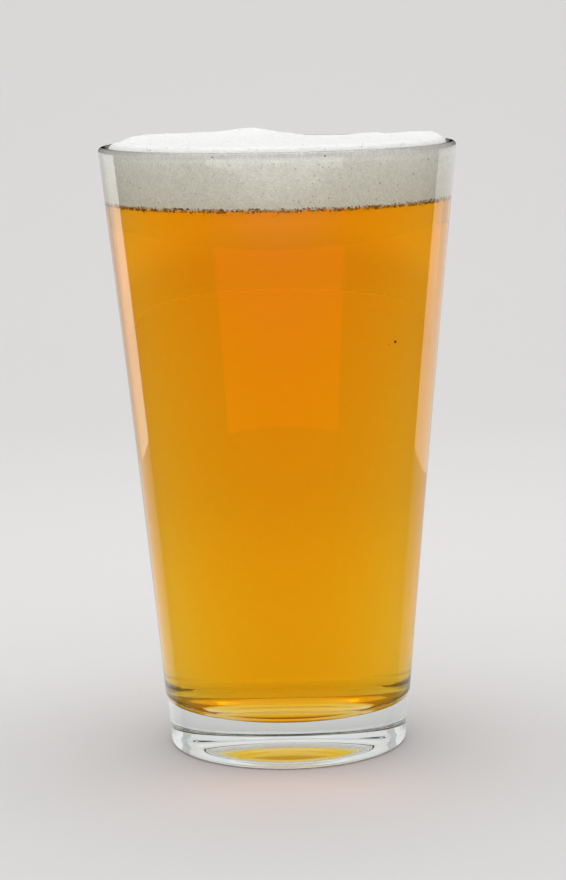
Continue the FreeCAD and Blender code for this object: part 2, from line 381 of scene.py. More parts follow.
# %% Run a tree, measure a mesh
def volume_ml(mesh):
    """The volume that a closed mesh encloses; it is negative if the faces point inwards."""
    solid = bmesh.new()
    solid.from_mesh(mesh)
    volume = solid.calc_volume(signed=True) * 1e6
    open_edges = sum(not edge.is_manifold for edge in solid.edges)
    solid.free()
    if open_edges:
        print(f"{mesh.name} has {open_edges} open edges")
    return volume


def run_tree(name, mesh, tree, values):
    """Runs a tree on a mesh and returns its result as a new object with a plain mesh."""
    source = bpy.data.objects.new(name + "_source", mesh)
    bpy.context.collection.objects.link(source)
    modifier = source.modifiers.new(tree.name, "NODES")
    modifier.node_group = tree
    sockets = {item.name: item.identifier for item in tree.interface.items_tree if item.in_out == "INPUT"}
    for key, value in values.items():
        modifier[sockets[key]] = value
    ready = source.evaluated_get(bpy.context.evaluated_depsgraph_get())
    result = bpy.data.meshes.new_from_object(ready)
    bpy.data.objects.remove(source)
    result.name = name
    piece = bpy.data.objects.new(name, result)
    bpy.context.collection.objects.link(piece)
    print(f"{name}: {len(result.vertices)} points, {len(result.polygons)} faces, {volume_ml(result):.1f} ml")
    return piece


def turn(name, section, material, steps=256):
    """Turns a section, a list of (radius, height), about the Z axis."""
    points = [(radius - HUB_RADIUS, -height, 0) for radius, height in reversed(section)]
    mesh = bpy.data.meshes.new(name + "_section")
    mesh.from_pydata(points, [(i, i + 1) for i in range(len(points) - 1)], [])
    return run_tree(name, mesh, turning_tree, {
        "Steps round": steps, "Hub radius": HUB_RADIUS, "Material": material,
    })


# %% [markdown]
# ## The glass's section
#
# A pressed pint glass has a thick foot with a shallow hollow under it, a wall that
# tapers in thickness and bows in very slightly, and a rim melted round in a flame. The
# section is a chain of corners with a rounding at each one. The wall's bow is added to
# the straight chain afterwards, so that inside and outside follow the same rule.

# %% The wall's lines and a rounded chain
RIM_START = GLASS_HEIGHT - RIM_WALL / 2
# Of the points above the shoulder, those further out than this belong to the wall.
NEAREST_WALL = 20 * MM


def bow_at(height):
    """How far the wall stands in from its straight taper at a height."""
    share = (height - SHOULDER_HEIGHT) / (RIM_START - SHOULDER_HEIGHT)
    return 4 * WALL_BOW * share * (1 - share)


def outside_at(height):
    """The outside radius of the straight taper at a height."""
    share = (height - SHOULDER_HEIGHT) / (RIM_START - SHOULDER_HEIGHT)
    return SHOULDER_RADIUS + share * (RIM_RADIUS - SHOULDER_RADIUS)


def inside_at(height):
    """The inside radius of the straight taper at a height."""
    share = (height - SHOULDER_HEIGHT) / (RIM_START - SHOULDER_HEIGHT)
    low = SHOULDER_RADIUS - LOWER_WALL
    return low + share * (RIM_RADIUS - RIM_WALL - low)


def rounded_chain(corners, arc_steps=10, run_step=3 * MM):
    """Points along a chain of corners (radius, height, rounding), each corner an arc."""
    chain = [Vector(corners[0][:2])]
    for before, corner, after in zip(corners, corners[1:], corners[2:]):
        place = Vector(corner[:2])
        back = (Vector(before[:2]) - place).normalized()
        on = (Vector(after[:2]) - place).normalized()
        half = back.angle(on) / 2
        reach = corner[2] / math.tan(half)
        centre = place + (back + on).normalized() * corner[2] / math.sin(half)
        start = place + back * reach - centre
        sweep = (math.pi - 2 * half) * (1 if back.x * on.y - back.y * on.x < 0 else -1)
        for step in range(arc_steps + 1):
            turned = Matrix.Rotation(sweep * step / arc_steps, 2) @ start
            chain.append(centre + turned)
    chain.append(Vector(corners[-1][:2]))
    points = []
    for start, end in zip(chain, chain[1:]):
        runs = max(1, int((end - start).length / run_step))
        points += [tuple(start.lerp(end, i / runs)) for i in range(runs)]
    return points + [tuple(chain[-1])]


def bow(points, on_wall):
    """Moves the points that lie on the wall in by its bow."""
    return [(r - bow_at(z) if on_wall(r, z) else r, z) for r, z in points]


print(f"inside radius at the floor {inside_at(FLOOR_HEIGHT) / MM:.1f} mm")
print(f"inside radius at the rim {inside_at(RIM_START) / MM:.1f} mm")

# %% [markdown]
# The corners run from the hollow round the foot, over the ledge, up the outside, over
# the rim and down the inside to the middle of the floor.

# %% Draw the glass
RECESS_STEPS = 12
LEDGE_ROUNDING = 0.4 * MM
SHOULDER_ROUNDING = 0.6 * MM


def glass_section():
    """The glass's half-section, from the middle of its underside to the middle of its floor."""
    recess = [
        (RECESS_RADIUS * i / RECESS_STEPS, RECESS_DEPTH * (1 - (i / RECESS_STEPS) ** 2))
        for i in range(RECESS_STEPS)
    ]
    outside_rim = outside_at(GLASS_HEIGHT)
    inside_rim = inside_at(GLASS_HEIGHT)
    edge = 0.497 * RIM_WALL  # a hair under half, so that the rim's two arcs don't cross
    corners = [
        (RECESS_RADIUS, 0, 0),
        (FOOT_RADIUS, 0, HEEL_RADIUS),
        (SHOULDER_RADIUS - LEDGE_WIDTH, SHOULDER_HEIGHT - LEDGE_HEIGHT, LEDGE_ROUNDING),
        (SHOULDER_RADIUS, SHOULDER_HEIGHT, SHOULDER_ROUNDING),
        (outside_rim, GLASS_HEIGHT, edge),
        (inside_rim, GLASS_HEIGHT, edge),
        (inside_at(FLOOR_HEIGHT), FLOOR_HEIGHT, FLOOR_CORNER),
        (0, FLOOR_HEIGHT, 0),
    ]
    chain = rounded_chain(corners)
    return recess + bow(chain, lambda r, z: SHOULDER_HEIGHT < z < GLASS_HEIGHT and r > NEAREST_WALL)


glass = turn("glass_clear", glass_section(), glass_material)

# %% [markdown]
# ## The beer's section
#
# The beer takes the inside of the glass up to its level. It is drawn a little less than
# a tenth of a millimetre larger, so that it reaches just into the wall. If the two only
# touched, light would meet a film of air between them and the wall would look silvered.

# %% Draw the beer
REACH = 0.08 * MM
BEER_EDGE_ROUNDING = 0.2 * MM


def beer_section():
    """The beer's half-section, from the middle of the floor to the middle of its surface."""
    corners = [
        (0, FLOOR_HEIGHT - REACH, 0),
        (inside_at(FLOOR_HEIGHT) + REACH, FLOOR_HEIGHT - REACH, FLOOR_CORNER),
        (inside_at(BEER_LEVEL) + REACH, BEER_LEVEL, BEER_EDGE_ROUNDING),
        (0, BEER_LEVEL, 0),
    ]
    chain = rounded_chain(corners)
    return bow(chain, lambda r, z: z > SHOULDER_HEIGHT and r > NEAREST_WALL)


beer = turn("beer_body", beer_section(), beer_material)

# %% [markdown]
# ## The foam head
#
# The head is poured, so its top is uneven: a low plateau with wide lumps and hollows,
# rolled over to the wall all round. It isn't a turned shape, so it is modelled as rings
# of points, with the height of each worked out from the same lumps as in the CAD model.
# A little noise roughens the top: it only takes foam away, so the head stays in the
# CAD model's box. The rings lie closer together where the top rolls over to the wall.

# %% The foam's lumps
FOAM_RISE = 1.4 * MM
FOAM_ROLL = 2.4 * MM
# Each lump: direction in degrees from +X, share of the inside radius, rise and width.
FOAM_LUMPS = [
    (103, 0.75, 1.2 * MM, 4.5 * MM),
    (124, 0.79, 0.3 * MM, 6.0 * MM),
    (77, 0.90, -1.2 * MM, 5.0 * MM),
    (64, 0.89, -1.0 * MM, 5.0 * MM),
    (61, 0.61, -0.7 * MM, 6.5 * MM),
    (150, 0.84, 0.6 * MM, 7.0 * MM),
    (39, 0.88, -0.9 * MM, 5.0 * MM),
    (14, 0.88, 0.5 * MM, 5.0 * MM),
    (172, 0.91, -0.7 * MM, 6.0 * MM),
    (262, 0.62, -0.5 * MM, 6.0 * MM),
    (302, 0.55, 0.4 * MM, 7.0 * MM),
]


def foam_height(x, y):
    """Height of the foam's top over points, before its border is rolled down."""
    height = np.full_like(x, GLASS_HEIGHT + FOAM_RISE)
    inside = RIM_RADIUS - RIM_WALL
    for angle, share, rise, width in FOAM_LUMPS:
        lump = inside * share * np.array([math.cos(math.radians(angle)), math.sin(math.radians(angle))])
        height += rise * np.exp(-((x - lump[0]) ** 2 + (y - lump[1]) ** 2) / (2 * width ** 2))
    return height


middle_height = foam_height(np.zeros(1), np.zeros(1))[0]
print(f"the foam's middle stands {(middle_height - GLASS_HEIGHT) / MM:.1f} mm over the rim")

# %% [markdown]
# Each ring of the top is drawn flat and then lifted to the foam's height. The last
# rings go down the wall to the beer and in to the axis, which closes the head.

# %% Draw the foam
AROUND = 256
ROUGHNESS_DEPTH = 0.16 * MM
ROUGHNESS_SIZE = 2.2 * MM
ROLL_SHARE = 0.1
ANGLES = np.linspace(0, 2 * math.pi, AROUND, endpoint=False)


def level_ring(radius, height):
    """A ring of points at one height."""
    return np.stack([radius * np.cos(ANGLES), radius * np.sin(ANGLES), np.full(AROUND, height)], 1)


def top_ring(radius, edge):
    """A ring of points on the foam's top, which ends at the radius edge."""
    ring = level_ring(radius, 0.0)
    x, y = ring[:, 0], ring[:, 1]
    past = max(0.0, radius - (edge - FOAM_ROLL))
    drop = FOAM_ROLL - math.sqrt(max(0.0, FOAM_ROLL ** 2 - past ** 2))
    rough = [
        ROUGHNESS_DEPTH * (1 + noise.noise(Vector((px, py, 0)) / ROUGHNESS_SIZE))
        for px, py in zip(x, y)
    ]
    ring[:, 2] = foam_height(x, y) - drop - rough
    return ring


def foam_rings():
    """The foam's rings, from the middle of its top over the edge to the middle of its underside."""
    edge = inside_at(RIM_START)
    plateau = np.linspace(0.01, 1 - ROLL_SHARE, 60)
    roll = 1 - ROLL_SHARE * (1 - np.linspace(0, 1, 24)[1:]) ** 2
    rings = [top_ring(edge * share, edge) for share in np.concatenate([plateau, roll])]
    lowest = rings[-1][:, 2].min()
    for height in np.linspace(lowest - 0.3 * MM, BEER_LEVEL - REACH, 24):
        radius = inside_at(height) - bow_at(height) + REACH
        rings.append(level_ring(radius, height))
    return rings + [level_ring(radius * share, height) for share in (0.98, 0.8, 0.5, 0.02)]


def make_foam():
    """Joins the rings with faces and closes both ends at the axis."""
    rings = foam_rings()
    points = np.concatenate(rings)
    faces = []
    for ring in range(len(rings) - 1):
        for i in range(AROUND):
            j = (i + 1) % AROUND
            low, high = ring * AROUND, (ring + 1) * AROUND
            faces.append((low + i, high + i, high + j, low + j))
    top = len(points)
    points = np.vstack([points, [0, 0, rings[0][:, 2].mean()], [0, 0, BEER_LEVEL - REACH]])
    last = (len(rings) - 1) * AROUND
    for i in range(AROUND):
        j = (i + 1) % AROUND
        faces.append((top, i, j))
        faces.append((top + 1, last + j, last + i))
    mesh = bpy.data.meshes.new("foam_head")
    mesh.from_pydata(points.tolist(), [], faces)
    return put_in_scene(mesh, foam_material)


foam = make_foam()
print(f"foam_head: {len(foam.data.polygons)} faces, {volume_ml(foam.data):.1f} ml")

# %% [markdown]
# ## Bubble materials
#
# Two kinds of bubble show through the wall. Those in the foam are pale films that catch
# light or shade one by one. Those where the foam meets the beer are full of the beer's
# own dark edge, so they look brown. On top they are dry and nearly white. The light and
# shade that each bubble catches is painted: each takes its own colour between a dark and
# a light one, which Random Per Island gives from the mesh alone.

# %% Bubble film materials
def make_bubble_material(name, dark, light, roughness):
    """Wet bubble film, a little shiny, with painted light and shade: a colour between dark and light for each
    bubble.
    """
    material, tree, output = new_material(name)
    island = add(tree, "ShaderNodeNewGeometry").outputs["Random Per Island"]
    ramp = add(tree, "ShaderNodeValToRGB", None, Fac=island)
    ramp.color_ramp.elements[0].color = linear(dark)
    ramp.color_ramp.elements[1].color = linear(light)
    shader = add(
        tree, "ShaderNodeBsdfPrincipled", None,
        Base_Color=ramp.outputs["Color"], Roughness=roughness, IOR=1.33,
    )
    tree.links.new(shader.outputs[0], output.inputs["Surface"])
    return material


# Each film's spread from dark to light is painted light and shade, one draw per bubble.
foam_bubble_material = make_bubble_material("foam_bubble_film", "#c9c4af", "#ffffff", 0.3)
beer_bubble_material = make_bubble_material("beer_bubble_film", "#5c380e", "#e09a3c", 0.2)
top_bubble_material = make_bubble_material("dry_foam_bubble_film", "#cfcdc6", "#f2f2f0", 0.4)
print("three bubble films, each with a shade for every bubble")

# %% [markdown]
# ## Bubbles against the wall
#
# Bubbles that touch the wall make the foam's grain sharp, which a pattern alone can't.
# A tree throws points at random round the wall between two heights and puts a small
# ball on each. Most bubbles are small and a few are large, so the random share is
# raised to a power before it becomes a size. Each ball is an icosphere of 80 faces,
# which keeps a piece of over two thousand bubbles light.

# %% The wall bubble tree
def make_wall_bubble_tree():
    """A tree that puts balls at random on a cone between two heights."""
    tree = bpy.data.node_groups.new("wall_bubbles", "GeometryNodeTree")
    face = tree.interface
    face.new_socket("Start", in_out="INPUT", socket_type="NodeSocketGeometry")
    face.new_socket("Count", in_out="INPUT", socket_type="NodeSocketInt")
    for name in ("Low height", "High height", "Low radius", "High radius", "Smallest", "Largest", "Stretch"):
        face.new_socket(name, in_out="INPUT", socket_type="NodeSocketFloat")
    face.new_socket("Seed", in_out="INPUT", socket_type="NodeSocketInt")
    face.new_socket("Material", in_out="INPUT", socket_type="NodeSocketMaterial")
    face.new_socket("Bubbles", in_out="OUTPUT", socket_type="NodeSocketGeometry")
    given = tree.nodes.new("NodeGroupInput").outputs

    def random_share(offset):
        seed = add(
            tree, "ShaderNodeMath", {"operation": "ADD"}, _0=given["Seed"], _1=float(offset),
        ).outputs[0]
        return add(tree, "FunctionNodeRandomValue", {"data_type": "FLOAT"}, Seed=seed).outputs[1]

    points = add(tree, "GeometryNodePoints", None, Count=given["Count"]).outputs[0]
    level = random_share(1)
    turn_angle = add(
        tree, "ShaderNodeMath", {"operation": "MULTIPLY"}, _0=random_share(2), _1=2 * math.pi,
    ).outputs[0]
    height = add(
        tree, "ShaderNodeMapRange", None,
        Value=level, To_Min=given["Low height"], To_Max=given["High height"],
    ).outputs[0]
    radius = add(
        tree, "ShaderNodeMapRange", None,
        Value=level, To_Min=given["Low radius"], To_Max=given["High radius"],
    ).outputs[0]
    over = add(tree, "ShaderNodeMath", {"operation": "COSINE"}, _0=turn_angle).outputs[0]
    along = add(tree, "ShaderNodeMath", {"operation": "SINE"}, _0=turn_angle).outputs[0]
    x = add(tree, "ShaderNodeMath", {"operation": "MULTIPLY"}, _0=radius, _1=over).outputs[0]
    y = add(tree, "ShaderNodeMath", {"operation": "MULTIPLY"}, _0=radius, _1=along).outputs[0]
    place = add(tree, "ShaderNodeCombineXYZ", None, X=x, Y=y, Z=height).outputs[0]
    spread = add(tree, "GeometryNodeSetPosition", None, Geometry=points, Position=place).outputs[0]
    rarity = add(tree, "ShaderNodeMath", {"operation": "POWER"}, _0=random_share(3), _1=2.0).outputs[0]
    size = add(
        tree, "ShaderNodeMapRange", None, Value=rarity, To_Min=given["Smallest"], To_Max=given["Largest"],
    ).outputs[0]
    tall = add(tree, "ShaderNodeMath", {"operation": "MULTIPLY"}, _0=size, _1=given["Stretch"]).outputs[0]
    scale = add(tree, "ShaderNodeCombineXYZ", None, X=size, Y=size, Z=tall).outputs[0]
    ball = add(tree, "GeometryNodeMeshIcoSphere", None, Radius=1.0, Subdivisions=2).outputs[0]
    balls = add(
        tree, "GeometryNodeInstanceOnPoints", None, Points=spread, Instance=ball, Scale=scale,
    ).outputs[0]
    whole = add(tree, "GeometryNodeRealizeInstances", None, Geometry=balls).outputs[0]
    smooth = add(tree, "GeometryNodeSetShadeSmooth", None, Geometry=whole).outputs[0]
    finish = add(tree, "GeometryNodeSetMaterial", None, Geometry=smooth, Material=given["Material"])
    add(tree, "NodeGroupOutput", None, Bubbles=finish.outputs[0])
    return tree


wall_bubble_tree = make_wall_bubble_tree()
print(f"{wall_bubble_tree.name}: {len(wall_bubble_tree.nodes)} nodes")


def wall_bubbles(name, count, low, high, smallest, largest, material, seed, stretch=1.0, sunk=0.0):
    """Bubbles between two heights, with their middles in the wall's inner face.

    sunk moves them towards the axis, and stretch makes them taller than they are wide.
    """
    return run_tree(name, bpy.data.meshes.new(name + "_start"), wall_bubble_tree, {
        "Count": count, "Low height": low, "High height": high,
        "Low radius": inside_at(low) - bow_at(low) - sunk,
        "High radius": inside_at(high) - bow_at(high) - sunk,
        "Smallest": smallest, "Largest": largest, "Stretch": stretch, "Seed": seed, "Material": material,
    })


# %% [markdown]
# ## The bubbles themselves
#
# In the foam they lie all over the inside of the wall. Just under the rim a row of
# them is drawn up into short streaks. Where the foam ends, a ragged brown fringe of
# coarser bubbles hangs in the beer, with a few small ones a little below it. Most are
# drawn a little larger than real ones, which would be too fine to show.

# %% Scatter the bubbles
foam_bubbles = wall_bubbles(
    "foam_wall_bubbles", 2400, BEER_LEVEL + 0.4 * MM, GLASS_HEIGHT - 2.6 * MM,
    0.08 * MM, 0.26 * MM, foam_bubble_material, 11, sunk=0.02 * MM,
)
rim_streaks = wall_bubbles(
    "foam_rim_streaks", 420, GLASS_HEIGHT - 3.4 * MM, GLASS_HEIGHT - 2.4 * MM,
    0.08 * MM, 0.16 * MM, foam_bubble_material, 23, stretch=3.0,
)
fringe = wall_bubbles(
    "beer_line_bubbles", 2450, BEER_LEVEL - 0.55 * MM, BEER_LEVEL + 0.40 * MM,
    0.10 * MM, 0.30 * MM, beer_bubble_material, 37,
)
strays = wall_bubbles(
    "beer_line_strays", 420, BEER_LEVEL - 1.4 * MM, BEER_LEVEL - 0.3 * MM,
    0.06 * MM, 0.14 * MM, beer_bubble_material, 41,
)

# %% [markdown]
# ## Specks
#
# A used glass is never quite clean. A few dark specks, none a millimetre across, sit
# on the outside of the wall and on the rim. Each is a flattened ball, turned to lie on
# the surface. They are so few that a list of places is simpler than scattering.

# %% Specks on the glass
# Each speck: direction in degrees from +X, height and size.
SPECKS = [
    (-46.5, 103.5 * MM, 0.42 * MM),
    (-49.5, 103.0 * MM, 0.16 * MM),
    (-110.0, 148.3 * MM, 0.20 * MM),
    (-75.5, 148.2 * MM, 0.22 * MM),
]


def make_speck_material():
    """Dried dirt: matt and dark brown, with a grain of a fifth of a millimetre."""
    material, tree, output = new_material("dried_speck")
    place = add(tree, "ShaderNodeTexCoord").outputs["Object"]
    grain = add(tree, "ShaderNodeTexNoise", None, Vector=place, Scale=1 / (0.2 * MM)).outputs[0]
    ramp = add(tree, "ShaderNodeValToRGB", None, Fac=grain)
    ramp.color_ramp.elements[0].color = linear("#2a2018")
    ramp.color_ramp.elements[1].color = linear("#5a4630")
    shader = add(tree, "ShaderNodeBsdfPrincipled", None, Base_Color=ramp.outputs["Color"], Roughness=0.7)
    tree.links.new(shader.outputs[0], output.inputs["Surface"])
    return material


def make_specks():
    """All the specks as one mesh."""
    dots = bmesh.new()
    for degrees, height, size in SPECKS:
        angle = math.radians(degrees)
        radius = min(outside_at(height) - bow_at(height), RIM_RADIUS - 0.2 * MM)
        flat = Matrix.Diagonal((0.3 * size, size, 0.8 * size, 1))
        spot = Matrix.Translation((radius * math.cos(angle), radius * math.sin(angle), height))
        turned = spot @ Matrix.Rotation(angle, 4, "Z") @ flat
        bmesh.ops.create_icosphere(dots, subdivisions=2, radius=1, matrix=turned)
    mesh = bpy.data.meshes.new("wall_specks")
    dots.to_mesh(mesh)
    dots.free()
    return put_in_scene(mesh, make_speck_material())


specks = make_specks()
print(f"wall_specks: {len(SPECKS)} specks")

# %% [markdown]
# ## Bubbles on top of the foam
#
# On top the bubbles follow the foam's own surface. Distribute Points on Faces puts
# them there, kept to the faces that look upwards, and each ball is sunk so that only
# its cap shows.

# %% Scatter the top bubbles
def make_top_bubble_tree():
    """A tree that puts sunk balls at random on the faces that look upwards."""
    tree = bpy.data.node_groups.new("top_bubbles", "GeometryNodeTree")
    face = tree.interface
    face.new_socket("Foam", in_out="INPUT", socket_type="NodeSocketGeometry")
    for name in ("Bubbles per square metre", "Smallest", "Largest", "Sunk share"):
        face.new_socket(name, in_out="INPUT", socket_type="NodeSocketFloat")
    face.new_socket("Seed", in_out="INPUT", socket_type="NodeSocketInt")
    face.new_socket("Material", in_out="INPUT", socket_type="NodeSocketMaterial")
    face.new_socket("Bubbles", in_out="OUTPUT", socket_type="NodeSocketGeometry")
    given = tree.nodes.new("NodeGroupInput").outputs
    facing = add(tree, "GeometryNodeInputNormal").outputs[0]
    upwards = add(tree, "ShaderNodeSeparateXYZ", None, Vector=facing).outputs["Z"]
    on_top = add(tree, "ShaderNodeMath", {"operation": "GREATER_THAN"}, _0=upwards, _1=0.6).outputs[0]
    points = add(
        tree, "GeometryNodeDistributePointsOnFaces", {"distribute_method": "RANDOM"},
        Mesh=given["Foam"], Selection=on_top, Density=given["Bubbles per square metre"], Seed=given["Seed"],
    ).outputs["Points"]
    chance = add(tree, "FunctionNodeRandomValue", {"data_type": "FLOAT"}, Seed=given["Seed"]).outputs[1]
    rarity = add(tree, "ShaderNodeMath", {"operation": "POWER"}, _0=chance, _1=2.5).outputs[0]
    size = add(
        tree, "ShaderNodeMapRange", None, Value=rarity, To_Min=given["Smallest"], To_Max=given["Largest"],
    ).outputs[0]
    drop = add(tree, "ShaderNodeMath", {"operation": "MULTIPLY"}, _0=size, _1=given["Sunk share"]).outputs[0]
    down = add(tree, "ShaderNodeMath", {"operation": "MULTIPLY"}, _0=drop, _1=-1.0).outputs[0]
    offset = add(tree, "ShaderNodeCombineXYZ", None, Z=down).outputs[0]
    sunk = add(tree, "GeometryNodeSetPosition", None, Geometry=points, Offset=offset).outputs[0]
    ball = add(tree, "GeometryNodeMeshIcoSphere", None, Radius=1.0, Subdivisions=2).outputs[0]
    balls = add(
        tree, "GeometryNodeInstanceOnPoints", None, Points=sunk, Instance=ball, Scale=size,
    ).outputs[0]
    whole = add(tree, "GeometryNodeRealizeInstances", None, Geometry=balls).outputs[0]
    smooth = add(tree, "GeometryNodeSetShadeSmooth", None, Geometry=whole).outputs[0]
    finish = add(tree, "GeometryNodeSetMaterial", None, Geometry=smooth, Material=given["Material"])
    add(tree, "NodeGroupOutput", None, Bubbles=finish.outputs[0])
    return tree


top_bubbles = run_tree("foam_top_bubbles", foam.data.copy(), make_top_bubble_tree(), {
    "Bubbles per square metre": 0.34e6, "Smallest": 0.12 * MM, "Largest": 0.6 * MM,
    "Sunk share": 0.8, "Seed": 5, "Material": top_bubble_material,
})

# %% [markdown]
# ## Tell the frame what stands for what
#
# Nothing moves in a glass of beer, so every piece rides on the one body, "root". Three
# pieces stand for the CAD model's solids, which are hidden. The bubbles and specks are
# extras on the same body; the list beside them only names the solid whose finish each
# belongs to.

# %% Attach the pieces
STANDS_FOR = ((glass, "glass"), (beer, "beer"), (foam, "foam"))
BELONGS_TO = (
    (foam_bubbles, "foam"),
    (rim_streaks, "foam"),
    (fringe, "beer"),
    (strays, "beer"),
    (top_bubbles, "foam"),
    (specks, "glass"),
)
for piece, node in STANDS_FOR:
    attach(piece, "root")
    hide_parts(node)
for piece, node in BELONGS_TO:
    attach(piece, "root")
print(f"{len(STANDS_FOR)} pieces stand for solids and {len(BELONGS_TO)} are added to them")

# %% [markdown]
# ## The studio's table and backdrop
#
# The glass stands on a long sheet of matt paper that curves up behind it, so that no
# edge shows. The sheet lies a tenth of a millimetre below the foot: that film of air
# makes the underside of the glass act as a mirror, as it does on a real table.
# Reflections leave the sheet out, because the cards below make them.

# %% Table and backdrop
AIR_FILM = 0.1 * MM
SWEEP_WIDTH = 3.0
SWEEP_BEND = 0.5
FLAT_FROM, FLAT_TO = -2.0, 0.5
BACKDROP_TOP = 2.5


def make_matt_material(name, colour, roughness, shine):
    """A plain matt finish for the studio's sheets."""
    material, tree, output = new_material(name)
    shader = add(tree, "ShaderNodeBsdfPrincipled", None, Base_Color=linear(colour), Roughness=roughness)
    shader.inputs["Specular IOR Level"].default_value = shine
    tree.links.new(shader.outputs[0], output.inputs["Surface"])
    return material


def make_sweep():
    """A pale sheet that lies flat under the glass and curves up behind it."""
    outline = [(FLAT_FROM, -AIR_FILM), (FLAT_TO, -AIR_FILM)]
    for degrees in range(5, 91, 5):
        angle = math.radians(degrees)
        outline.append((FLAT_TO + SWEEP_BEND * math.sin(angle), SWEEP_BEND * (1 - math.cos(angle))))
    outline.append((FLAT_TO + SWEEP_BEND, BACKDROP_TOP))
    points = [(side * SWEEP_WIDTH / 2, y, z) for y, z in outline for side in (-1, 1)]
    faces = [(2 * i, 2 * i + 1, 2 * i + 3, 2 * i + 2) for i in range(len(outline) - 1)]
    mesh = bpy.data.meshes.new("studio_sweep")
    mesh.from_pydata(points, [], faces)
    sweep = put_in_scene(mesh, make_matt_material("matt_pale_paper", "#d6d5d4", 0.9, 0.1))
    sweep.visible_glossy = False


make_sweep()
print(f"the sheet lies {AIR_FILM / MM:.1f} mm under the glass")

# %% [markdown]
# ## Lights
#
# Large soft lights give a glass its calm look, and each does one job. One hangs high
# over the table. A smaller one brightens the table round the glass. One stands in
# front and lights only what is seen through the glass, which is the foam behind the
# wall. The last is tiny and orange: real beer throws a warm patch of light on the
# table, which is slow to trace, so this light paints it.

# %% Lights
def soft_light(name, place, aim, size, power, seen_by, colour="#ffffff"):
    """A rectangular softbox at place that faces aim and lights only the paths in seen_by."""
    light = bpy.data.lights.new(name, "AREA")
    light.shape = "RECTANGLE"
    light.size, light.size_y = size
    light.energy = power
    light.color = linear(colour)[:3]
    lamp = bpy.data.objects.new(name, light)
    lamp.location = place
    lamp.rotation_euler = (Vector(aim) - Vector(place)).to_track_quat("-Z", "Y").to_euler()
    lamp.visible_camera = False
    lamp.visible_glossy = "glossy" in seen_by
    lamp.visible_diffuse = "diffuse" in seen_by
    lamp.visible_transmission = "transmission" in seen_by
    bpy.context.collection.objects.link(lamp)


middle = (0, 0, 0.08)
on_surfaces = ("diffuse", "glossy")
soft_light("top_panel", (0, 0.3, 1.1), middle, (1.0, 1.0), 2.05, on_surfaces)
soft_light("pool_panel", (0, 0.16, 0.5), (0, 0.16, 0), (0.4, 0.4), 0.58, on_surfaces)
soft_light("front_panel", (0, -1.3, 0.75), middle, (1.3, 1.0), 7.8, ("transmission",))
soft_light("beer_glow", (0, -0.045, 0.02), (0, -0.045, 0), (0.05, 0.012), 0.0016, ("diffuse",), "#ff9a58")
print(f"{len(bpy.data.lights)} lights")

# %% [markdown]
# ## Cards
#
# Clear glass has no look of its own: it shows what it reflects and what is behind it.
# So in a studio white cards and black flags stand round it. A card at each side draws
# a bright strip down the edge of the glass, with a dimmer one under it for the table's
# own reflection. The card in front draws the broad soft patch on the upper half, and
# the one behind stands in for the backdrop. One more glows behind the top of the beer
# and shows only through it. Each is hidden from every other kind of light path, so
# none of them lights the table or shows by itself.

# %% Glowing cards
def show_only_in(sheet, rays):
    """Hides a sheet from all light paths but "glossy" or "transmission" ones."""
    sheet.visible_camera = sheet.visible_diffuse = sheet.visible_shadow = False
    sheet.visible_glossy = rays == "glossy"
    sheet.visible_transmission = rays == "transmission"


def glowing_card(name, ends, heights, axis, fade, rays="glossy"):
    """An upright card that shows only in the glass: in its reflections, or through it.

    ends are its two floor points and heights its bottom and top. Its brightness fades
    along axis, "X" or "Z", from one (place, brightness) pair of fade to the next.
    """
    (x0, y0), (x1, y1) = ends
    low, high = heights
    mesh = bpy.data.meshes.new(name)
    corners = [(x0, y0, low), (x1, y1, low), (x1, y1, high), (x0, y0, high)]
    mesh.from_pydata(corners, [], [(0, 1, 2, 3)])
    material, tree, output = new_material(name + "_glow")
    place = add(tree, "ShaderNodeTexCoord").outputs["Object"]
    along = add(tree, "ShaderNodeSeparateXYZ", None, Vector=place).outputs[axis]
    start, end = fade[0][0], fade[-1][0]
    brightest = max(level for _, level in fade)
    share = add(tree, "ShaderNodeMapRange", None, Value=along, From_Min=start, From_Max=end).outputs["Result"]
    ramp = add(tree, "ShaderNodeValToRGB", None, Fac=share)
    stops = ramp.color_ramp.elements
    for spot, level in fade:
        position = (spot - start) / (end - start)
        stop = stops[0] if spot == start else stops[-1] if spot == end else stops.new(position)
        stop.color = [level / brightest] * 3 + [1.0]
    glow = add(tree, "ShaderNodeEmission", None, Color=ramp.outputs["Color"], Strength=brightest)
    tree.links.new(glow.outputs[0], output.inputs["Surface"])
    material.cycles.emission_sampling = "NONE"
    card = put_in_scene(mesh, material)
    show_only_in(card, rays)


LEFT_ENDS = ((-0.2055, 0.1213), (-0.1100, 0.2200))
RIGHT_ENDS = ((0.090, 0.205), (0.197, 0.098))
SIDE_HEIGHTS = (0.025, 0.15)
LOW_HEIGHTS = (-0.1, 0.025)

glowing_card(
    "left_card", LEFT_ENDS, SIDE_HEIGHTS, "X",
    [(-0.2055, 1.9), (-0.17, 1.35), (-0.14, 0.7), (-0.11, 0.65)],
)
glowing_card(
    "low_left_card", LEFT_ENDS, LOW_HEIGHTS, "X",
    [(-0.2055, 0.3), (-0.17, 0.6), (-0.14, 0.75), (-0.11, 0.85)],
)
glowing_card(
    "low_right_card", RIGHT_ENDS, LOW_HEIGHTS, "X",
    [(0.090, 0.6), (0.14, 0.5), (0.197, 0.2)],
)
glowing_card(
    "right_card", RIGHT_ENDS, SIDE_HEIGHTS, "X",
    [(0.090, 0.8), (0.14, 0.95), (0.197, 1.15)],
)
glowing_card("back_card", ((-0.3, 0.6), (0.3, 0.6)), (-0.34, 0.12), "X", [(-0.3, 0.66), (0.3, 0.66)])
glowing_card(
    "front_card", ((-0.285, -0.3), (0.25, -0.3)), (0.0, 0.16), "Z",
    [(0.0, 0.0), (0.045, 0.07), (0.062, 0.3), (0.072, 1.8), (0.1, 2.1)],
)
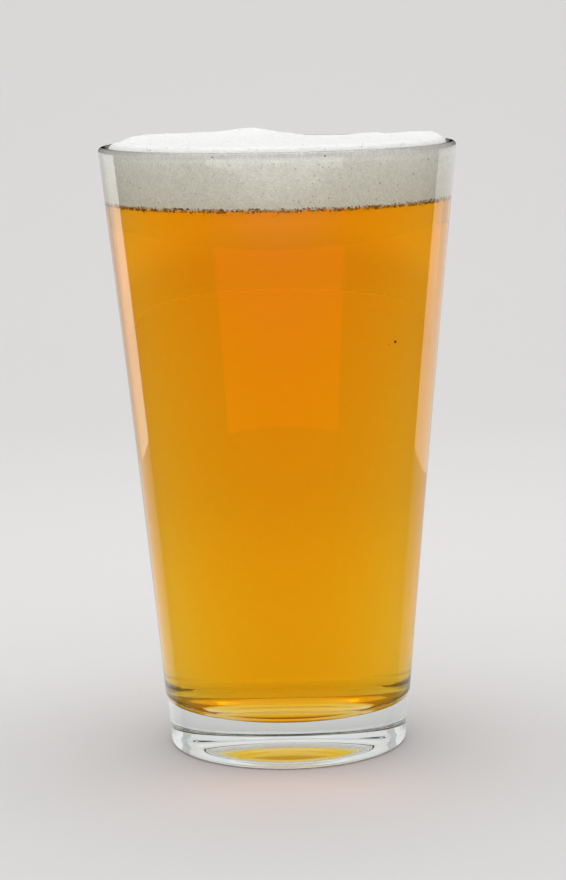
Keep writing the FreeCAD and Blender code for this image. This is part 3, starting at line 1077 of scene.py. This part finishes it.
glowing_card(
    "back_glow", ((-0.45, 0.45), (0.45, 0.45)), (0.095, 0.5), "Z",
    [(0.095, 0.688), (0.108, 0.69), (0.122, 0.80), (0.5, 0.80)], rays="transmission",
)
print(f"{sum(name.endswith(('_card', '_glow')) for name in bpy.data.meshes.keys())} cards")

# %% [markdown]
# ## Dark flags
#
# The dark outline of a clear glass is the reflection of something dark. One black
# sheet lies far below the table, and one stands behind, over the back card.

# %% Dark flags
FLAG_REACH = 4.0
LOW_FLAG_HEIGHT = -0.36
BACK_FLAG_PLACE = 0.7
BACK_FLAG_LOW, BACK_FLAG_HIGH = 0.13, 1.6


def make_dark_flags():
    """A black sheet below the table and one above the back card, seen only in reflections."""
    reach = FLAG_REACH
    square = ((-reach, -reach), (reach, -reach), (reach, reach), (-reach, reach))
    flat = [(x, y, LOW_FLAG_HEIGHT) for x, y in square]
    low, high = BACK_FLAG_LOW, BACK_FLAG_HIGH
    oblong = ((-reach, low), (reach, low), (reach, high), (-reach, high))
    upright = [(x, BACK_FLAG_PLACE, z) for x, z in oblong]
    mesh = bpy.data.meshes.new("dark_flags")
    mesh.from_pydata(flat + upright, [], [(0, 1, 2, 3), (4, 5, 6, 7)])
    flags = put_in_scene(mesh, make_matt_material("black_velvet", "#000000", 1.0, 0.0))
    show_only_in(flags, "glossy")


make_dark_flags()
print(f"two flags, each {2 * FLAG_REACH:.0f} m wide")

# %% [markdown]
# ## The air of the studio
#
# The world fills the shadows with an even, nearly neutral white, as a bright room does.

# %% World
world = bpy.data.worlds.new("studio_air")
world.use_nodes = True
background = world.node_tree.nodes["Background"]
background.inputs["Color"].default_value = linear("#fbfbfc")
background.inputs["Strength"].default_value = 1.0
bpy.context.scene.world = world
print(f"world strength {background.inputs['Strength'].default_value:.1f}")

# %% [markdown]
# ## Camera
#
# A long lens keeps the glass's sides nearly straight. The camera stands a little
# higher than the rim and looks down by nine degrees, so that the rim and the foot are
# narrow ellipses and a strip of the foam's top shows. It is rolled by a degree, which
# gives the glass a slight lean. The matrix is built from three directions: where the
# camera looks, its right and its up.

# %% Camera
CAMERA_DISTANCE = 0.640
CAMERA_HEIGHT = 0.18136
PITCH = 0.16328
ROLL = 0.02023
LENS_MM = 106.9855
SENSOR_MM = 36


def make_camera():
    """Makes the camera and sets it as the scene's."""
    right = Vector((1, 0, 0))
    forward = Vector((0, math.cos(PITCH), -math.sin(PITCH)))
    up = Vector((0, math.sin(PITCH), math.cos(PITCH)))
    leaned_right = math.cos(ROLL) * right - math.sin(ROLL) * up
    leaned_up = math.sin(ROLL) * right + math.cos(ROLL) * up
    camera = bpy.data.cameras.new("camera")
    camera.lens = LENS_MM
    camera.sensor_width = SENSOR_MM
    camera.clip_start = 0.01
    view = bpy.data.objects.new("camera", camera)
    turned = Matrix((leaned_right, leaned_up, -forward)).transposed()
    view.matrix_world = Matrix.Translation((0, -CAMERA_DISTANCE, CAMERA_HEIGHT)) @ turned.to_4x4()
    bpy.context.collection.objects.link(view)
    bpy.context.scene.camera = view


make_camera()
print(f"lens {LENS_MM:.0f} mm, looking down {math.degrees(PITCH):.1f} degrees")

# %% [markdown]
# ## Colour and light paths
#
# The Standard view keeps whites white. Light that reaches the foot has crossed the
# glass and the beer many times, so it gets up to 24 bounces through clear faces.

# %% View and bounces
scene = bpy.context.scene
scene.view_settings.view_transform = "Standard"
scene.cycles.max_bounces = 24
scene.cycles.transmission_bounces = 24
scene.cycles.glossy_bounces = 8
print(f"up to {scene.cycles.max_bounces} bounces")
